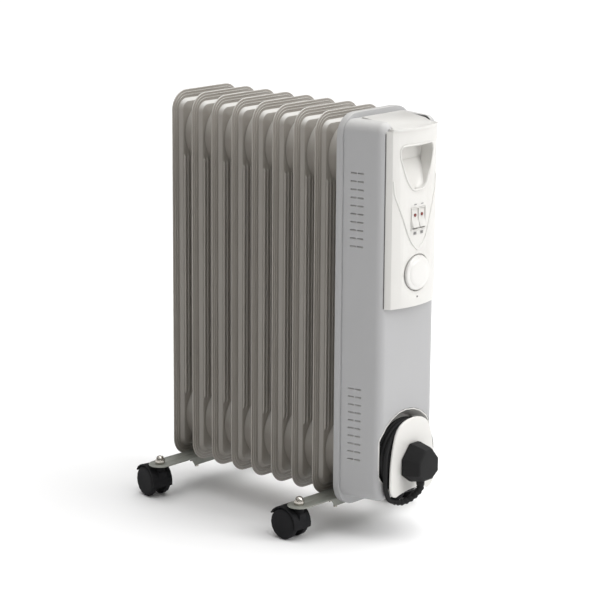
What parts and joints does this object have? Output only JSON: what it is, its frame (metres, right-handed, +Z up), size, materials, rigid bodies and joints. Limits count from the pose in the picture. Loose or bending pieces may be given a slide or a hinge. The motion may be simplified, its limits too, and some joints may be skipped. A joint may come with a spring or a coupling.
{
  "type": "oil filled radiator heater",
  "caption": "Free-standing finned oil radiator on twin-wheel castors, with an end housing holding a dial, rocker switches, a hand grip and a cord wrap.",
  "frame": {"origin": "on the floor under the middle of the heater, measured without the free cord and plug", "axes": "+Z up; +X from the rear fin towards the control housing; +Y across the fins"},
  "size_m": [0.4616, 0.2746, 0.605],
  "materials": {
    "fin_paint": "satin powder coat, warm white",
    "housing_paint": "satin powder coat on the sheet housing",
    "white_plastic": "smooth moulded plastic",
    "knob_plastic": "smooth moulded plastic",
    "black_plastic": "fine grained",
    "black_rubber": "matt flexible jacket",
    "bright_steel": "zinc plated",
    "bracket_steel": "zinc grey-green coat",
    "dark_steel": "dull, heat stained",
    "cream_plastic": "heat-resistant moulding"
  },
  "bodies": {
    "heater": {"fin_1": "fin_paint", "fin_2": "fin_paint", "fin_3": "fin_paint", "fin_4": "fin_paint", "fin_5": "fin_paint", "fin_6": "fin_paint", "fin_7": "fin_paint", "fin_8": "fin_paint", "fin_9": "fin_paint", "rear_foot_bracket": "bracket_steel", "front_foot_bracket": "bracket_steel", "rear_u_bolt": "bright_steel", "front_u_bolt": "bright_steel", "rear_near_wing_nut": "bright_steel", "rear_far_wing_nut": "bright_steel", "front_near_wing_nut": "bright_steel", "front_far_wing_nut": "bright_steel", "castor_rear_near_stem": "bright_steel", "castor_rear_near_dome_nut": "bright_steel", "castor_rear_far_stem": "bright_steel", "castor_rear_far_dome_nut": "bright_steel", "castor_front_near_stem": "bright_steel", "castor_front_near_dome_nut": "bright_steel", "castor_front_far_stem": "bright_steel", "castor_front_far_dome_nut": "bright_steel", "end_frame": "housing_paint", "housing_shell": "housing_paint", "control_panel": "white_plastic", "thermostat": "cream_plastic", "switch_housing": "white_plastic", "heating_element": "dark_steel", "terminal_block": "cream_plastic", "thermal_cutout": "dark_steel", "tilt_switch": "black_plastic", "cord_dish": "white_plastic", "wrap_cap": "white_plastic", "cord_coil": "black_rubber", "cord_lead_in": "black_rubber", "cord_tail": "black_rubber", "plug_strain_relief": "black_rubber", "mains_plug": "black_rubber"},
    "castor_rear_near_swivel": {"castor_rear_near_body": "black_plastic", "castor_rear_near_axle": "bright_steel"},
    "castor_rear_near_wheel_outer": {"castor_rear_near_wheel_outer": "black_plastic"},
    "castor_rear_near_wheel_inner": {"castor_rear_near_wheel_inner": "black_plastic"},
    "castor_rear_far_swivel": {"castor_rear_far_body": "black_plastic", "castor_rear_far_axle": "bright_steel"},
    "castor_rear_far_wheel_outer": {"castor_rear_far_wheel_outer": "black_plastic"},
    "castor_rear_far_wheel_inner": {"castor_rear_far_wheel_inner": "black_plastic"},
    "castor_front_near_swivel": {"castor_front_near_body": "black_plastic", "castor_front_near_axle": "bright_steel"},
    "castor_front_near_wheel_outer": {"castor_front_near_wheel_outer": "black_plastic"},
    "castor_front_near_wheel_inner": {"castor_front_near_wheel_inner": "black_plastic"},
    "castor_front_far_swivel": {"castor_front_far_body": "black_plastic", "castor_front_far_axle": "bright_steel"},
    "castor_front_far_wheel_outer": {"castor_front_far_wheel_outer": "black_plastic"},
    "castor_front_far_wheel_inner": {"castor_front_far_wheel_inner": "black_plastic"},
    "thermostat_knob": {"thermostat_knob": "knob_plastic"},
    "power_rocker_1": {"power_rocker_1": "white_plastic"},
    "power_rocker_2": {"power_rocker_2": "white_plastic"}
  },
  "joints": [
    {"name": "castor_rear_near_swivel", "type": "hinge", "parent": "heater", "child": "castor_rear_near_swivel", "pos_m": [-0.17639, -0.11945, 0.05], "axis": [0, 0, 1], "continuous": true},
    {"name": "castor_rear_near_wheel_outer_spin", "type": "hinge", "parent": "castor_rear_near_swivel", "child": "castor_rear_near_wheel_outer", "pos_m": [-0.19399, -0.1157, 0.0225], "axis": [0.2079, 0.9781, 0], "continuous": true},
    {"name": "castor_rear_near_wheel_inner_spin", "type": "hinge", "parent": "castor_rear_near_swivel", "child": "castor_rear_near_wheel_inner", "pos_m": [-0.19399, -0.1157, 0.0225], "axis": [0.2079, 0.9781, 0], "continuous": true},
    {"name": "castor_rear_far_swivel", "type": "hinge", "parent": "heater", "child": "castor_rear_far_swivel", "pos_m": [-0.17639, 0.11655, 0.05], "axis": [0, 0, 1], "continuous": true},
    {"name": "castor_rear_far_wheel_outer_spin", "type": "hinge", "parent": "castor_rear_far_swivel", "child": "castor_rear_far_wheel_outer", "pos_m": [-0.19421, 0.11405, 0.0225], "axis": [-0.1392, 0.9903, 0], "continuous": true},
    {"name": "castor_rear_far_wheel_inner_spin", "type": "hinge", "parent": "castor_rear_far_swivel", "child": "castor_rear_far_wheel_inner", "pos_m": [-0.19421, 0.11405, 0.0225], "axis": [-0.1392, 0.9903, 0], "continuous": true},
    {"name": "castor_front_near_swivel", "type": "hinge", "parent": "heater", "child": "castor_front_near_swivel", "pos_m": [0.10361, -0.11945, 0.05], "axis": [0, 0, 1], "continuous": true},
    {"name": "castor_front_near_wheel_outer_spin", "type": "hinge", "parent": "castor_front_near_swivel", "child": "castor_front_near_wheel_outer", "pos_m": [0.08561, -0.11945, 0.0225], "axis": [0, 1, 0], "continuous": true},
    {"name": "castor_front_near_wheel_inner_spin", "type": "hinge", "parent": "castor_front_near_swivel", "child": "castor_front_near_wheel_inner", "pos_m": [0.08561, -0.11945, 0.0225], "axis": [0, 1, 0], "continuous": true},
    {"name": "castor_front_far_swivel", "type": "hinge", "parent": "heater", "child": "castor_front_far_swivel", "pos_m": [0.10361, 0.11655, 0.05], "axis": [0, 0, 1], "continuous": true},
    {"name": "castor_front_far_wheel_outer_spin", "type": "hinge", "parent": "castor_front_far_swivel", "child": "castor_front_far_wheel_outer", "pos_m": [0.08571, 0.11843, 0.0225], "axis": [0.1045, 0.9945, 0], "continuous": true},
    {"name": "castor_front_far_wheel_inner_spin", "type": "hinge", "parent": "castor_front_far_swivel", "child": "castor_front_far_wheel_inner", "pos_m": [0.08571, 0.11843, 0.0225], "axis": [0.1045, 0.9945, 0], "continuous": true},
    {"name": "thermostat_turn", "type": "hinge", "parent": "heater", "child": "thermostat_knob", "pos_m": [0.21121, -0.00145, 0.3855], "axis": [1, 0, 0], "range_deg": [-270, 0]},
    {"name": "power_rocker_1_rock", "type": "hinge", "parent": "heater", "child": "power_rocker_1", "pos_m": [0.20901, -0.00865, 0.462], "axis": [0, 1, 0], "range_deg": [0, 18]},
    {"name": "power_rocker_2_rock", "type": "hinge", "parent": "heater", "child": "power_rocker_2", "pos_m": [0.20901, 0.00575, 0.462], "axis": [0, 1, 0], "range_deg": [0, 18]}
  ]
}
